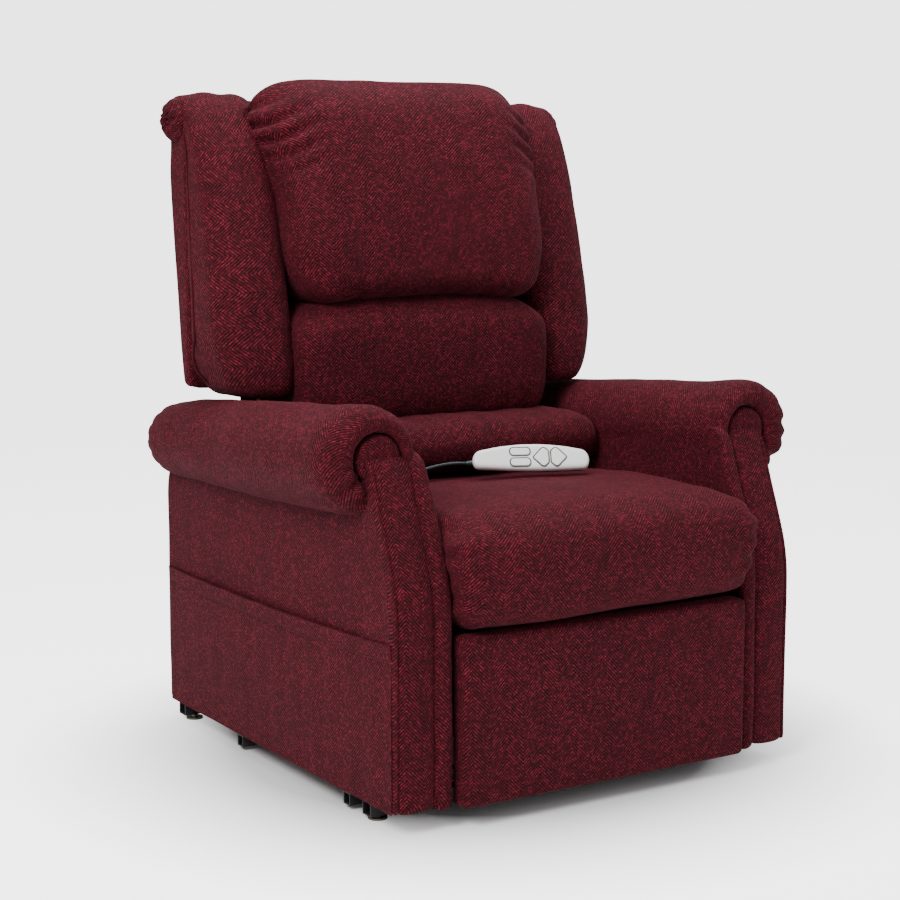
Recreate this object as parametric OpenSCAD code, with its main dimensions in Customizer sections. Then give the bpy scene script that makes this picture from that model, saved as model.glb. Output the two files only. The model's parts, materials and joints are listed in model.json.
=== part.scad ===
// Lift recliner chair: padded armchair on a steel lift base, with a reclining back,
// a footrest on folding links, two linear actuators and a corded handset.
// Millimetres, +Z up, the chair faces -Y. The origin is on the floor, at the middle of the footprint.
// Side views are drawn as (y, z) with y counted from the vertical front of the arms.

/* [Overall] */
// Depth from the front of the arms back to the origin
front_to_origin = 378; // [370:1:390]
// Height of the underside of the upholstered body above the floor
skirt_z = 31; // [31:1:40]
// Half width between the inner faces of the arms
arm_inner = 283; // [283:1:286]
// Half width over the arm side panels
arm_outer = 374; // [365:1:380]
// Depth of the arms
arm_depth = 804; // [790:1:806]
// Radius of the arm roll at its front
roll_r_front = 83; // [80:1:84]
// Radius of the arm roll at its rear
roll_r_rear = 66; // [60:1:68]
// Height of the arm roll axis at its front
roll_z_front = 546; // [540:1:550]
// Height of the arm roll axis at its rear
roll_z_rear = 503; // [495:1:505]

/* [Seat and back] */
// Half width of the seat cushion
seat_half = 272; // [265:1:272]
// Height of the seat cushion's crest
seat_top = 470; // [460:1:474]
// Half width of the back pillows
pillow_half = 250; // [235:1:250]
// Half width of the wooden back frame and the outside back
back_half = 381; // [375:1:385]
// Height of the top of the back
back_top = 1130; // [1110:1:1150]
// Radius of the scroll along the top rear of the back
scroll_r = 36; // [30:1:38]

/* [Footrest] */
// Half width of the footrest
footrest_half = 270; // [250:1:272]
// Thickness of the footrest padding
footrest_pad_t = 22; // [15:1:24]

/* [Lift base] */
// Height of the floor frame's tubes
tube_h = 22; // [18:1:22]
// Width of the floor frame's tubes
tube_w = 25; // [20:1:30]
// Diameter of a floor glide
glide_d = 30; // [24:1:34]
// Thickness of the steel linkage plates
plate_t = 6; // [5:0.5:6]
// Diameter of the linkage pins
pin_d = 12; // [10:1:12]

/* [Handset] */
// Length of the handset
handset_l = 200; // [185:1:210]
// Height of the handset's face
handset_h = 50; // [46:1:54]
// Thickness of the handset
handset_t = 26; // [24:1:30]
// Diameter of the handset's cord
cord_d = 5.5; // [5:0.1:6]

/* [Hidden] */
$fn = 48;

// Clearances: round pins in holes, sliding faces, and cloth against cloth
pin_gap = 0.05;
side_gap = 1;
cloth_gap = 0.6;
open_gap = 2.6;
recline_open_gap = 4.2;

// Floor frame
glide_h = 7;
tube_z = glide_h;
tube_top = tube_z + tube_h;
front_tube_y = 110;
rear_tube_y = 775;
rail_x = 265;
tube_half = 362;
outrigger_ys = [171, 539];
glide_x = 343;
rear_glide_y = 765;

// Lift linkage pivots (y, z): on the floor brackets and on the chair's mechanism plates
front_foot = [157, 87];
front_head = [408, 87];
rear_foot = [203, 113];
rear_head = [574, 138];
link_w = 28;
bracket_x = 262;
outer_link_x = bracket_x + plate_t + 3;
inner_link_x = bracket_x - 3 - plate_t;
link_tube_at = 0.5;
link_tube_d = 24;

// How far from its tail pivot an actuator's bore starts
bore_start = 92;

// Lift actuator pivots (y, z) and its place across the chair
lift_tail = [143, 119];
lift_nose = [361, 279];
lift_x = -60;

// Back pivot, recline actuator pivots and its place across the chair
back_pivot = [700, 400];
recline_lever = 56;
recline_lever_angle = -50;
recline_nose = back_pivot + recline_lever * [cos(recline_lever_angle), sin(recline_lever_angle)];
recline_tail = [360, 185];
recline_x = 70;

// Footrest link pivots (y, z)
swing_pivot = [123, 245];
knee_pivot = [189, 74];
board_pivot = [36, 148];
swing_x = 245;
foot_link_w = 22;
carry_x = swing_x - plate_t - 2;
lug_x = carry_x - plate_t - 2;
footrest_bottom = skirt_z;
footrest_top = 290;
footrest_front = -17;
board_t = 15;
board_front = footrest_front + footrest_pad_t;

// Seat platform
deck_z = 345;
rail_z0 = 291;
rail_outer = 226;
rail_t = 20;
rail_y0 = 40;
rail_y1 = 640;

// Mechanism plates
plate_z0 = 215;
plate_z1 = 300;
plate_y0 = 80;
plate_y1 = 726;
cross_tubes = [[392, 281], [655, 240]];

// Handset placing: middle of the body, turn about the vertical, lean back from the vertical
handset_mid = [67, 303, 489];
handset_turn = -26;
handset_lean = 30;
shell_split = 12;
key_gap = 0.4;
key_travel = 1;

// Cord route through these points, from the gland to the handset's end
gland_top = [-252, 360, 300];
cord_route = [
    gland_top, [-253.5, 360, 312], [-260, 360, 324], [-270, 360, 337], [-276, 360, 352],
    [-277.5, 360, 375], [-277.5, 360, 410], [-277.5, 360, 444], [-277.3, 360, 452],
    [-275.5, 360, 459.8], [-269, 360, 464.2], [-260, 360.5, 464.6], [-250, 361, 463.3], [-228, 363, 461.3], [-195, 368, 460.5],
    [-155, 372, 464.5], [-118, 372.5, 474], [-88, 370.5, 481], [-64, 366.5, 484.8], [-46, 361.5, 486.3],
    [-28.7, 355.5, 486]
];

function unit(v) = v / norm(v);
function angle2(p, q) = atan2(q[1] - p[1], q[0] - p[0]);
function mix(a, b, t) = a + (b - a) * t;
function roll_z(y) = mix(roll_z_front, roll_z_rear, (y - 92) / (arm_depth - 92));

// Moves a shape from arm-front coordinates to the origin
module placed() {
    translate([0, -front_to_origin, 0]) children();
}

// The same shape on both sides
module both_sides() {
    children();
    mirror([1, 0, 0]) children();
}

// A (y, z) outline carried from x0 to x1
module across(x0, x1) {
    translate([x0, 0, 0]) rotate([90, 0, 90]) linear_extrude(x1 - x0) children();
}

// A round bar along X through the (y, z) point p
module bar_x(p, x0, x1, d) {
    translate([x0, p[0], p[1]]) rotate([0, 90, 0]) cylinder(h = x1 - x0, d = d);
}

// Flat bar outline between two points, with round ends
module link_outline(p, q, w) {
    a = angle2(p, q);
    polygon(concat(
        [for (t = [-90:15:90]) q + w / 2 * [cos(a + t), sin(a + t)]],
        [for (t = [90:15:270]) p + w / 2 * [cos(a + t), sin(a + t)]]));
}

// Box tube with open bore, given its size and wall
module box_tube(size, wall, long) {
    difference() {
        cube(size);
        translate([for (i = [0:2]) i == long ? -1 : wall])
            cube([for (i = [0:2]) i == long ? size[i] + 2 : size[i] - 2 * wall]);
    }
}

module floor_cross_tubes() {
    color("#1d1d1f") placed()
        for (y = [front_tube_y, rear_tube_y])
            translate([-tube_half, y - tube_w / 2, tube_z]) box_tube([2 * tube_half, tube_w, tube_h], 2, 0);
}

module floor_side_rails() {
    length = rear_tube_y - front_tube_y - tube_w;
    color("#1d1d1f") placed() both_sides()
        translate([rail_x - tube_w / 2, front_tube_y + tube_w / 2, tube_z])
            box_tube([tube_w, length, tube_h], 2, 1);
}

module floor_outriggers() {
    start = rail_x + tube_w / 2;
    color("#1d1d1f") placed() both_sides()
        for (y = outrigger_ys)
            translate([start, y - 10, tube_z]) box_tube([tube_half - start, 20, 20], 2, 0);
}

module glide() {
    cylinder(h = 3, d = glide_d);
    translate([0, 0, 3]) cylinder(h = glide_h - 3, d = 12);
}

module floor_glides() {
    color("#8d8a86") placed() both_sides() {
        translate([glide_x, front_tube_y, 0]) glide();
        translate([glide_x, rear_glide_y, 0]) glide();
    }
}

// Upright plates on the side rails, with the fixed pins of both links
module lift_brackets() {
    color("#232326") placed() both_sides() {
        across(bracket_x, bracket_x + plate_t)
            polygon([[128, tube_top], [232, tube_top], [220, 134], [190, 134], [130, 106]]);
        bar_x(front_foot, inner_link_x, bracket_x, pin_d);
        bar_x(rear_foot, bracket_x + plate_t, outer_link_x + plate_t, pin_d);
    }
}

// Cross bar between the brackets that holds the lift motor's tail
module lift_motor_mount() {
    cheek = 5;
    color("#232326") placed() difference() {
        union() {
            translate([-bracket_x, 133, tube_top]) cube([2 * bracket_x, 20, 16]);
            for (x = [lift_x - 17 - cheek, lift_x + 17])
                across(x, x + cheek) link_outline([143, 46], lift_tail, 22);
        }
        bar_x(lift_tail, lift_x - 40, lift_x + 40, pin_d - 2 + 2 * pin_gap);
    }
}

module power_supply() {
    color("#26272a") placed()
        translate([60, 560, tube_z]) cube([150, 78, 46]);
}

module power_inlet() {
    color("#101012") placed()
        translate([110, 638, 18]) difference() {
            cube([32, 10, 24]);
            translate([4, 2, 4]) cube([24, 10, 16]);
        }
}

module front_lift_links() {
    color("#2b2c2f") placed() both_sides() {
        across(inner_link_x, inner_link_x + plate_t) difference() {
            link_outline(front_foot, front_head, link_w);
            translate(front_foot) circle(d = pin_d + 2 * pin_gap);
            translate(front_head) circle(d = pin_d + 2 * pin_gap);
        }
    }
}

// Tube that ties the left and right front links together
module lift_link_tube() {
    color("#2b2c2f") placed()
        bar_x(mix(front_foot, front_head, link_tube_at), -inner_link_x, inner_link_x, link_tube_d);
}

// The upper hole is oversize: that pivot is the open one of the four-bar loop
module rear_lift_links() {
    color("#2b2c2f") placed() both_sides()
        across(outer_link_x, outer_link_x + plate_t) difference() {
            link_outline(rear_foot, rear_head, link_w);
            translate(rear_foot) circle(d = pin_d + 2 * pin_gap);
            translate(rear_head) circle(d = pin_d + 1.4);
        }
}

// Turns a shape drawn along +Y into the line from tail to nose, at the place x
module actuator_place(tail, nose, x) {
    translate([x, tail[0], tail[1]]) rotate([angle2(tail, nose), 0, 0]) children();
}

// A round bar along +Y
module bar_y(from, to, d) {
    translate([0, from, 0]) rotate([-90, 0, 0]) cylinder(h = to - from, d = d);
}

// Fixed half of a linear actuator: tail eye, gearbox, motor can and outer tube
module actuator_body(tube_l) {
    difference() {
        union() {
            bar_x([0, 0], -15, 15, 22);
            translate([-15, 0, -11]) cube([30, 24, 22]);
            translate([-22, 22, -20]) cube([44, 66, 42]);
            translate([0, 48, 20]) cylinder(h = 38, d = 38);
            bar_y(86, tube_l, 34);
        }
        bar_y(bore_start, tube_l + 1, 20.4);
    }
    bar_x([0, 0], -24, 24, pin_d - 2);
}

// Sliding half: rod and its end eye
module actuator_rod(start, length, eye_gap) {
    difference() {
        union() {
            bar_y(start, length - 8, 20);
            bar_x([length, 0], -9, 9, 20 + 2 * eye_gap);
        }
        bar_x([length, 0], -10, 10, 10 + 2 * eye_gap);
    }
}

module lift_motor() {
    color("#303236") placed() actuator_place(lift_tail, lift_nose, lift_x) actuator_body(225);
}

module lift_rod() {
    color("#b9bcc0") placed() actuator_place(lift_tail, lift_nose, lift_x)
        actuator_rod(bore_start + 2, norm(lift_nose - lift_tail), open_gap);
}

// Mechanism side plate: long rail plate, hanging lug for the links, upstand for the back hinge
module mechanism_plate() {
    across(bracket_x, bracket_x + plate_t) difference() {
        union() {
            translate([plate_y0, plate_z0]) square([plate_y1 - plate_y0, plate_z1 - plate_z0]);
            polygon([[386, plate_z0 + 1], [392, 82], [408, 71], [424, 80], [590, 122], [594, 140],
                     [596, plate_z0 + 1]]);
            translate([back_pivot[0] - 20, plate_z1 - 1]) square([40, back_pivot[1] - plate_z1 + 1]);
            translate(back_pivot) circle(d = 40);
        }
        translate(swing_pivot) circle(d = pin_d + 2 * pin_gap);
        translate(back_pivot) circle(d = pin_d + 2 * pin_gap);
    }
    bar_x(front_head, inner_link_x, bracket_x, pin_d);
    bar_x(rear_head, bracket_x + plate_t, outer_link_x + plate_t, pin_d);
}

module left_mechanism_plate() {
    color("#232326") placed() mirror([1, 0, 0]) mechanism_plate();
}

module right_mechanism_plate() {
    color("#232326") placed() mechanism_plate();
}

// Square tubes between the two mechanism plates
module mechanism_tubes() {
    color("#232326") placed() {
        for (p = cross_tubes)
            translate([-bracket_x, p[0] - 10, p[1] - 10]) cube([2 * bracket_x, 20, 20]);
    }
}

// Bolts and spacers from the mechanism plates into the arm frames
module mechanism_bolts() {
    color("#9a9a9a") placed() both_sides()
        for (p = [[110, 285], [330, 285], [655, 285]]) {
            bar_x(p, bracket_x + plate_t, arm_inner, 18);
            bar_x(p, bracket_x - 6, bracket_x, 14);
        }
}

module lift_rod_mount() {
    cheek = 5;
    color("#232326") placed() {
        for (x = [lift_x - 10 - cheek, lift_x + 10])
            across(x, x + cheek) difference() {
                link_outline(lift_nose, cross_tubes[0], 20);
                translate(cross_tubes[0] - [10, 10]) square(20);
            }
        bar_x(lift_nose, lift_x - 10, lift_x + 10, 10);
    }
}

module recline_motor_mount() {
    cheek = 5;
    color("#232326") placed() difference() {
        for (x = [recline_x - 23 - cheek, recline_x + 23])
            across(x, x + cheek) difference() {
                link_outline([382, 262], recline_tail, 20);
                translate(recline_tail) circle(d = pin_d - 2 + 2 * pin_gap);
            }
        translate([recline_x - 40, cross_tubes[0][0] - 10, cross_tubes[0][1] - 10]) cube([80, 20, 20]);
    }
}

module control_box() {
    color("#222326") placed() translate([-256, 290, 238]) cube([50, 90, 47]);
}

// Strain relief on the control box that the handset's cord leaves by
module cord_gland() {
    color("#151517") placed() translate([gland_top[0], gland_top[1], 285]) {
        cylinder(h = 5, d = 12);
        cylinder(h = gland_top[2] - 285, d1 = 10, d2 = 7.5);
    }
}

module seat_side_rails() {
    color("#c9a66b") placed() both_sides()
        translate([rail_outer - rail_t, rail_y0 + rail_t, rail_z0])
            cube([rail_t, rail_y1 - rail_y0 - 2 * rail_t, deck_z - rail_z0]);
}

module seat_cross_rails() {
    color("#c9a66b") placed() {
        translate([-rail_outer, rail_y0, 302]) cube([2 * rail_outer, rail_t, deck_z - 302]);
        difference() {
            translate([-rail_outer, rail_y1 - rail_t, 318]) cube([2 * rail_outer, rail_t, deck_z - 318]);
            translate([recline_x - 22, rail_y1 - rail_t - 1, 317]) cube([44, rail_t + 2, 12]);
        }
    }
}

// Flat strip that follows a sine wave: a sinuous spring seen from above
module sinuous(length, waves, amplitude, wire) {
    steps = waves * 12;
    function wave(i, side) = [amplitude * sin(360 * waves * i / steps) + side * wire * 0.9, length * i / steps];
    linear_extrude(wire) polygon(concat(
        [for (i = [0:steps]) wave(i, -1)], [for (i = [steps:-1:0]) wave(i, 1)]));
}

module seat_springs() {
    inner = rail_y1 - rail_y0 - 2 * rail_t;
    color("#6f7074") placed()
        for (x = [-160:80:160])
            translate([x, rail_y0 + rail_t, 330]) sinuous(inner, 12, 22, 4);
}

// Cushion with a waterfall front that hangs over the front rail
module seat_cushion() {
    color("#6f1f33") placed() across(-seat_half, seat_half) {
        difference() {
            hull() {
                translate([-10, 340]) circle(r = 38, $fn = 32);
                translate([0, 406]) circle(r = 50, $fn = 32);
                translate([70, seat_top - 60]) circle(r = 60, $fn = 32);
                translate([220, seat_top - 60]) circle(r = 60, $fn = 32);
                translate([580, 356]) square([30, 80]);
                translate([20, 300]) square(60);
            }
            translate([rail_y0 - 1, 200]) square([600, deck_z + 1 - 200]);
        }
    }
}

// Outline of an arm's body seen from the side, its front moved back by d
module arm_outline(d, z0) {
    polygon([[d, z0], [d, 356], [44 + d, 437], [86 + d, 493], [92 + d, 540],
             [740, 505], [arm_depth - 6, 470], [arm_depth, 430], [arm_depth, z0]]);
}

// Arm roll: a tapered bar with a rounded rear end; grow widens it all round
module roll(grow) {
    rear = arm_depth - roll_r_rear;
    front_axis = [arm_inner + roll_r_front, 92 - grow, roll_z(92)];
    rear_axis = [arm_inner + 3 + roll_r_rear, rear, roll_z(rear)];
    v = rear_axis - front_axis;
    r0 = roll_r_front + grow;
    r1 = roll_r_rear + grow;
    translate(front_axis) rotate([0, acos(v[2] / norm(v)), atan2(v[1], v[0])])
        rotate_extrude($fn = 96) polygon(concat(
            [[0, 0], [r0, 0]],
            [for (a = [0:15:75]) [r1 * cos(a), norm(v) + r1 * sin(a)]],
            [[0, norm(v) + r1]]));
}

band_inner_t = 23;
facing_t = 8;
cover_t = 9;

// Padded cloth body of the arm, hollow around its frame
module arm_cover() {
    difference() {
        union() {
            across(arm_inner, arm_inner + band_inner_t - cloth_gap) arm_outline(0, skirt_z);
            across(arm_inner, arm_outer) arm_outline(facing_t + cloth_gap, skirt_z);
        }
        roll(cloth_gap);
        across(arm_inner + cover_t, arm_outer - cover_t)
            polygon([[20, skirt_z - 1], [20, 350], [64, 432], [72, 440], [700, 420], [790, 400],
                     [790, skirt_z - 1]]);
    }
}

// Plywood board frame inside the arm
module arm_frame() {
    board = 22;
    across(arm_inner + 30, arm_inner + 30 + board) difference() {
        polygon([[22, 47], [22, 350], [66, 430], [74, 438], [700, 418], [788, 398], [788, 47]]);
        translate([80, 110]) square([300, 240]);
        translate([440, 110]) square([290, 240]);
    }
}

// Front facing: a keyhole-shaped padded panel
module arm_facing() {
    across(arm_inner + band_inner_t, arm_outer) difference() {
        arm_outline(0, skirt_z);
        arm_outline(facing_t, skirt_z - 1);
        translate([85, 480]) square(400);
    }
    translate([330, 79, 484]) cube([40, 5.5, 30]);
    translate([350, 78, roll_z_front - 1]) rotate([-90, 0, 0]) cylinder(h = 9, r = 40);
}

// Flat pouch along the outside of the arm, open at its top
module pocket() {
    x0 = arm_outer + 0.3;
    gap = 5.5;
    sheet = 3;
    z0 = skirt_z + 4;
    z1 = 286;
    color("#64182c") difference() {
        translate([x0, 14, z0]) cube([gap + sheet, 776, z1 - z0]);
        translate([x0 - 1, 22, z0 + 8]) cube([gap + 1, 760, z1 - z0]);
    }
}

module left_arm_frame() {
    color("#c9a66b") placed() mirror([1, 0, 0]) arm_frame();
}

module right_arm_frame() {
    color("#c9a66b") placed() arm_frame();
}

module left_arm_cover() {
    color("#6a1c30") placed() mirror([1, 0, 0]) arm_cover();
}

module right_arm_cover() {
    color("#6a1c30") placed() arm_cover();
}

module left_arm_roll() {
    color("#722036") placed() mirror([1, 0, 0]) roll(0);
}

module right_arm_roll() {
    color("#722036") placed() roll(0);
}

module left_arm_facing() {
    color("#6a1c30") placed() mirror([1, 0, 0]) arm_facing();
}

module right_arm_facing() {
    color("#6a1c30") placed() arm_facing();
}

module left_pocket() {
    placed() mirror([1, 0, 0]) pocket();
}

module right_pocket() {
    placed() pocket();
}

// Cloth panel closing the rear below the back
module rear_skirt() {
    color("#64182c") placed()
        translate([-280, 793, skirt_z]) cube([560, 6, 350]);
}

// Rear line of the back seen from the side, moved forward by d
function back_line(d) = [
    [708 - d, 600], [723 - d, 680], [740 - d, 820], [752 - d, 930], [754 - d, 970], [750 - d, 1005]
];
back_front = 684;

// Wooden frame: wide above the arms, narrow between them
module back_frame() {
    wide_in = back_half - 32;
    color("#c9a66b") placed() difference() {
        union() {
            both_sides() {
                across(wide_in, back_half - 8) frame_side(616);
                across(222, 244) frame_side(440);
            }
            across(-back_half + 8, back_half - 8) intersection() {
                frame_side(616);
                union() {
                    translate([600, 600]) square([200, 40]);
                    translate([600, 965]) square([200, 45]);
                }
            }
            across(-244, 244) intersection() {
                frame_side(440);
                translate([600, 440]) square([200, 30]);
            }
        }
    }
}

module frame_side(z0) {
    polygon(concat([[back_front, z0], [702, z0]], [for (p = back_line(8)) if (p[1] > z0) p],
                   [[back_front, 1005]]));
}

// Hinge plates, pivot tube and the actuator's lever, welded together
module back_hinges() {
    plate_x = bracket_x - 6 - plate_t;
    color("#2b2c2f") placed() {
        both_sides() {
            across(plate_x, plate_x + plate_t) link_outline(back_pivot, [694, 500], 30);
            bar_x(back_pivot, plate_x + plate_t, bracket_x + plate_t + 2, pin_d);
            translate([244, 686, 445]) cube([plate_x - 244 + 1, 14, 60]);
        }
        bar_x(back_pivot, -plate_x - 1, plate_x + 1, 25);
        for (x = [recline_x - 15, recline_x + 10])
            across(x, x + 5) link_outline(back_pivot, recline_nose, 24);
        bar_x(recline_nose, recline_x - 12, recline_x + 12, 10);
    }
}

module back_springs() {
    color("#6f7074") placed()
        for (x = [-160:80:160])
            translate([x, 690, 640]) rotate([90, 0, 0]) sinuous(325, 8, 20, 4);
}

// Cloth shell over the rear and the sides of the frame
module outside_back() {
    color("#64182c") placed() {
        across(-back_half, back_half)
            polygon(concat(back_line(0), [for (i = [5:-1:0]) back_line(7)[i]]));
        both_sides() across(back_half - 6, back_half)
            polygon(concat([[680, 600]], back_line(1), [[680, 1005]]));
    }
}

module top_scroll() {
    color("#722036") placed() bar_x([754 - scroll_r, 1043], -back_half - 12, back_half + 12, 2 * scroll_r);
}

module top_pillow() {
    color("#722036") placed() across(-pillow_half, pillow_half) hull() {
        translate([525, 786]) circle(r = 27, $fn = 32);
        translate([546, 880]) circle(r = 53, $fn = 32);
        translate([606, 1020]) circle(r = 62, $fn = 32);
        translate([636, back_top - 42]) circle(r = 42, $fn = 32);
        translate([640, 786]) circle(r = 27, $fn = 32);
    }
}

module middle_pillow() {
    color("#722036") placed() across(-pillow_half, pillow_half) hull()
        for (p = [[522, 586], [526, 725], [650, 586], [650, 725]])
            translate(p) circle(r = 28, $fn = 32);
}

module lumbar_roll() {
    color("#722036") placed() across(-278, 278) hull() {
        translate([427, 506]) circle(r = 46, $fn = 32);
        translate([628, 506]) circle(r = 46, $fn = 32);
    }
}

// Padded bolster beside the back pillows, thinner and further back towards its top
module wing() {
    hull() {
        for (x = [292, 343]) {
            translate([x, 562, 636]) sphere(r = 38, $fn = 28);
            translate([x, 636, 920]) sphere(r = 38, $fn = 28);
            translate([x + 2, 646, 1030]) sphere(r = 35, $fn = 28);
        }
        translate([292, 644, 636]) sphere(r = 38, $fn = 28);
        translate([351, 650, 632]) sphere(r = 30, $fn = 28);
    }
}

module left_wing() {
    color("#722036") placed() mirror([1, 0, 0]) wing();
}

module right_wing() {
    color("#722036") placed() wing();
}

module recline_motor() {
    color("#303236") placed() actuator_place(recline_tail, recline_nose, recline_x) actuator_body(250);
}

module recline_rod() {
    color("#b9bcc0") placed() actuator_place(recline_tail, recline_nose, recline_x)
        actuator_rod(bore_start + 44, norm(recline_nose - recline_tail), recline_open_gap);
}

// Upper links of the footrest, each with the pins at both of its ends
module footrest_swing_links() {
    color("#2b2c2f") placed() both_sides() {
        across(swing_x, swing_x + plate_t) link_outline(swing_pivot, knee_pivot, foot_link_w);
        bar_x(swing_pivot, swing_x + plate_t, bracket_x + plate_t + 1, pin_d);
        bar_x(knee_pivot, carry_x, swing_x, pin_d);
    }
}

module footrest_carry_links() {
    color("#2b2c2f") placed() both_sides()
        across(carry_x, carry_x + plate_t) difference() {
            link_outline(knee_pivot, board_pivot, foot_link_w);
            translate(knee_pivot) circle(d = pin_d + 2 * pin_gap);
            translate(board_pivot) circle(d = pin_d + 2 * pin_gap);
        }
}

// Board with the two lugs and pins that the carry links hold
module footrest_board() {
    color("#c9a66b") placed() {
        translate([-footrest_half + 6, board_front, footrest_bottom + 4])
            cube([2 * footrest_half - 12, board_t, footrest_top - footrest_bottom - 8]);
        both_sides() {
            across(lug_x, lug_x + plate_t)
                polygon([[board_front + board_t - 1, 100], [board_pivot[0] + 4, 132], [board_pivot[0] + 12, 148],
                         [board_pivot[0] + 4, 164], [board_front + board_t - 1, 196]]);
            bar_x(board_pivot, lug_x + plate_t, carry_x + plate_t, pin_d);
        }
    }
}

module footrest_pad() {
    color("#6f1f33") placed() difference() {
        translate([-footrest_half, footrest_front, footrest_bottom])
            cube([2 * footrest_half, footrest_pad_t + board_t + 1, footrest_top - footrest_bottom]);
        translate([-footrest_half + 5.5, board_front, footrest_bottom + 3.5])
            cube([2 * footrest_half - 11, board_t + 2, footrest_top - footrest_bottom - 7]);
    }
}

// Puts a shape drawn in the handset's own frame (length X, outward -Y, height Z) where the handset lies
module handset_place() {
    translate(handset_mid) rotate([0, 0, handset_turn]) rotate([-handset_lean, 0, 0]) children();
}

// Face outline: domed top edge, nearly straight bottom edge
module handset_outline(inset) {
    half = handset_l / 2 - inset;
    top = [for (t = [-1:0.1:1]) [half * 0.96 * t, handset_h * (0.56 - 0.24 * t * t) - inset]];
    bottom = [[half * 0.96, -handset_h * 0.36 + inset], [0, -handset_h * 0.42 + inset],
              [-half * 0.96, -handset_h * 0.3 + inset]];
    polygon(concat([[-half, 0]], top, [[half, 0]], bottom));
}

module key_outline(kind, grow) {
    if (kind < 2)
        translate([-19, kind == 0 ? 12 : -7]) link_outline([-10, 0], [10, 0], 13 + 2 * grow);
    else
        translate([31, 1]) mirror([kind == 2 ? 1 : 0, 0])
            polygon([[2.5 - grow, -9], [2.5 - grow, 11], [9, 17 + grow], [13, 16 + grow], [28 + grow, 0],
                     [13, -15 - grow], [9, -15 - grow]]);
}

module key_shape(kind) {
    handset_place() rotate([90, 0, 0])
        translate([0, 0, handset_t / 2 - 3.6]) linear_extrude(4.6) key_outline(kind, 0);
}

module handset_front() {
    color("#f4f4f4") placed() handset_place() rotate([90, 0, 0]) difference() {
        translate([0, 0, handset_t / 2 - shell_split]) linear_extrude(shell_split) handset_outline(0);
        for (kind = [0:3])
            translate([0, 0, handset_t / 2 - 3.6 - key_travel - key_gap]) linear_extrude(10)
                key_outline(kind, key_gap);
    }
}

module handset_rear() {
    color("#3a3b3f") placed() handset_place() {
        rotate([90, 0, 0]) translate([0, 0, -handset_t / 2])
            linear_extrude(handset_t - shell_split) handset_outline(1.5);
        translate([5 - handset_l / 2, 6, 0]) rotate([0, -90, 0]) cylinder(h = 14, d1 = 10, d2 = 7);
    }
}

module key_up() {
    color("#f0f0f0") placed() key_shape(0);
}

module key_down() {
    color("#f0f0f0") placed() key_shape(1);
}

module key_left() {
    color("#f0f0f0") placed() key_shape(2);
}

module key_right() {
    color("#f0f0f0") placed() key_shape(3);
}

// Smooth curve through the route's points, then a round tube swept along it
function catmull(p0, p1, p2, p3, t) =
    0.5 * (2 * p1 + (p2 - p0) * t + (2 * p0 - 5 * p1 + 4 * p2 - p3) * t * t
           + (3 * p1 - p0 - 3 * p2 + p3) * t * t * t);
function smooth(pts, n) = concat(
    [for (i = [0:len(pts) - 2], k = [0:n - 1])
        catmull(pts[max(i - 1, 0)], pts[i], pts[i + 1], pts[min(i + 2, len(pts) - 1)], k / n)],
    [pts[len(pts) - 1]]);
function tangent(c, i) = unit(c[min(i + 1, len(c) - 1)] - c[max(i - 1, 0)]);
function side_of(t) = unit(cross(t, abs(t[1]) > 0.9 ? [1, 0, 0] : [0, 1, 0]));

module handset_cord() {
    sides = 10;
    curve = smooth(cord_route, 4);
    rings = len(curve);
    points = [for (i = [0:rings - 1]) let (t = tangent(curve, i), u = side_of(t), v = cross(t, u))
        for (k = [0:sides - 1]) curve[i] + cord_d / 2 * (cos(360 * k / sides) * u + sin(360 * k / sides) * v)];
    walls = [for (i = [0:rings - 2], k = [0:sides - 1])
        [i * sides + k, i * sides + (k + 1) % sides, (i + 1) * sides + (k + 1) % sides, (i + 1) * sides + k]];
    first = [for (k = [sides - 1:-1:0]) k];
    last = [for (k = [0:sides - 1]) (rings - 1) * sides + k];
    color("#1c2b2e") placed() polyhedron(points, concat([first], walls, [last]));
}

floor_cross_tubes();
floor_side_rails();
floor_outriggers();
floor_glides();
lift_brackets();
lift_motor_mount();
power_supply();
power_inlet();
front_lift_links();
lift_link_tube();
rear_lift_links();
lift_motor();
lift_rod();
left_mechanism_plate();
right_mechanism_plate();
mechanism_tubes();
mechanism_bolts();
lift_rod_mount();
recline_motor_mount();
control_box();
cord_gland();
seat_side_rails();
seat_cross_rails();
seat_springs();
seat_cushion();
left_arm_frame();
right_arm_frame();
left_arm_cover();
right_arm_cover();
left_arm_roll();
right_arm_roll();
left_arm_facing();
right_arm_facing();
left_pocket();
right_pocket();
rear_skirt();
back_frame();
back_hinges();
back_springs();
outside_back();
top_scroll();
top_pillow();
middle_pillow();
lumbar_roll();
left_wing();
right_wing();
recline_motor();
recline_rod();
footrest_swing_links();
footrest_carry_links();
footrest_board();
footrest_pad();
handset_front();
handset_rear();
handset_cord();
key_up();
key_down();
key_left();
key_right();
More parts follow.
